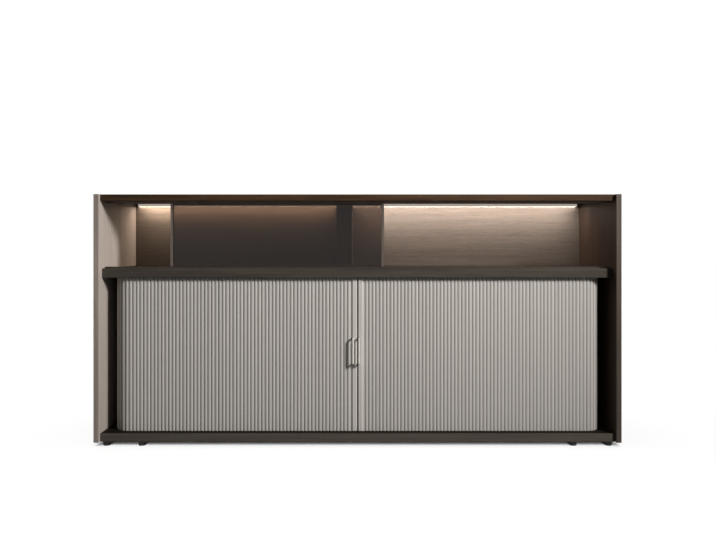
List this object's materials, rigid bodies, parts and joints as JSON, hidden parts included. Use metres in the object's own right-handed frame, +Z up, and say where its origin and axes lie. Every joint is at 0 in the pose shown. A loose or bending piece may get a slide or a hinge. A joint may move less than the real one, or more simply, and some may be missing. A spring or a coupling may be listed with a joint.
{
  "type": "office credenza",
  "caption": "Low wide office credenza: reeded tambour doors under a lit display niche with a sliding smoked-glass screen, in a dark veneered case on round glides.",
  "frame": {"origin": "middle of the footprint on the floor", "axes": "+X to the right seen from the front, along the longest side; -Y out of the front; +Z up"},
  "size_m": [1.8, 0.42, 0.8645],
  "materials": {
    "dark_walnut": "satin open-pore veneer, dark brown",
    "grey_oak": "matt veneer, light warm grey",
    "reed_grey": "matt laminate wrap, light warm grey",
    "inner_board": "matt melamine, dark brown",
    "curtain_cloth": "woven canvas",
    "smoked_glass": "smoked, polished",
    "bronze_frame": "anodised bronze, satin",
    "track_dark": "anodised dark bronze, matt",
    "pull_nickel": "brushed nickel",
    "led_channel": "milky plastic that glows with the light inside it",
    "opal_diffuser": "emissive warm-white opal diffuser",
    "led_board": "white solder mask",
    "black_plastic": "matt moulded",
    "black_rubber": "matt",
    "zinc_screw": "zinc plated",
    "white_nylon": "moulded nylon"
  },
  "bodies": {
    "case": {"back_panel": "dark_walnut", "bottom_board": "dark_walnut", "centre_partition": "inner_board", "display_deck": "dark_walnut", "false_back": "inner_board", "feet": "black_plastic", "lead_grommet": "black_rubber", "led_end_caps": "black_plastic", "left_bend_slats": "reed_grey", "left_curtain_canvas": "curtain_cloth", "left_curtain_slats": "reed_grey", "left_led_board": "led_board", "left_led_diffuser": "opal_diffuser", "left_led_profile": "led_channel", "left_liner": "inner_board", "left_shelf": "inner_board", "left_side_panel": "grey_oak", "left_side_run_slats": "reed_grey", "left_turn_canvas": "curtain_cloth", "lower_screen_track": "track_dark", "niche_divider": "dark_walnut", "right_bend_slats": "reed_grey", "right_curtain_canvas": "curtain_cloth", "right_curtain_slats": "reed_grey", "right_led_board": "led_board", "right_led_diffuser": "opal_diffuser", "right_led_profile": "led_channel", "right_liner": "inner_board", "right_shelf": "inner_board", "right_side_panel": "dark_walnut", "right_side_run_slats": "reed_grey", "right_turn_canvas": "curtain_cloth", "shelf_pins": "zinc_screw", "top_board": "dark_walnut", "upper_screen_track": "track_dark"},
    "left_door": {"left_lead_stile": "reed_grey", "left_meeting_strip": "reed_grey", "left_pull": "pull_nickel", "left_pull_screws": "zinc_screw"},
    "right_door": {"right_lead_stile": "reed_grey", "right_meeting_strip": "reed_grey", "right_pull": "pull_nickel", "right_pull_screws": "zinc_screw"},
    "screen": {"screen_stiles": "bronze_frame", "screen_rails": "bronze_frame", "screen_pane": "smoked_glass", "screen_runners": "white_nylon", "screen_guides": "white_nylon"}
  },
  "joints": [
    {"name": "left_door_slide", "type": "slide", "parent": "case", "child": "left_door", "axis": [-1, 0, 0], "range_m": [0, 0.767], "deforming": ["left_curtain_slats", "left_curtain_canvas"]},
    {"name": "right_door_slide", "type": "slide", "parent": "case", "child": "right_door", "axis": [1, 0, 0], "range_m": [0, 0.767], "deforming": ["right_curtain_slats", "right_curtain_canvas"]},
    {"name": "screen_slide", "type": "slide", "parent": "case", "child": "screen", "axis": [1, 0, 0], "range_m": [-0.227, 0.787]}
  ]
}
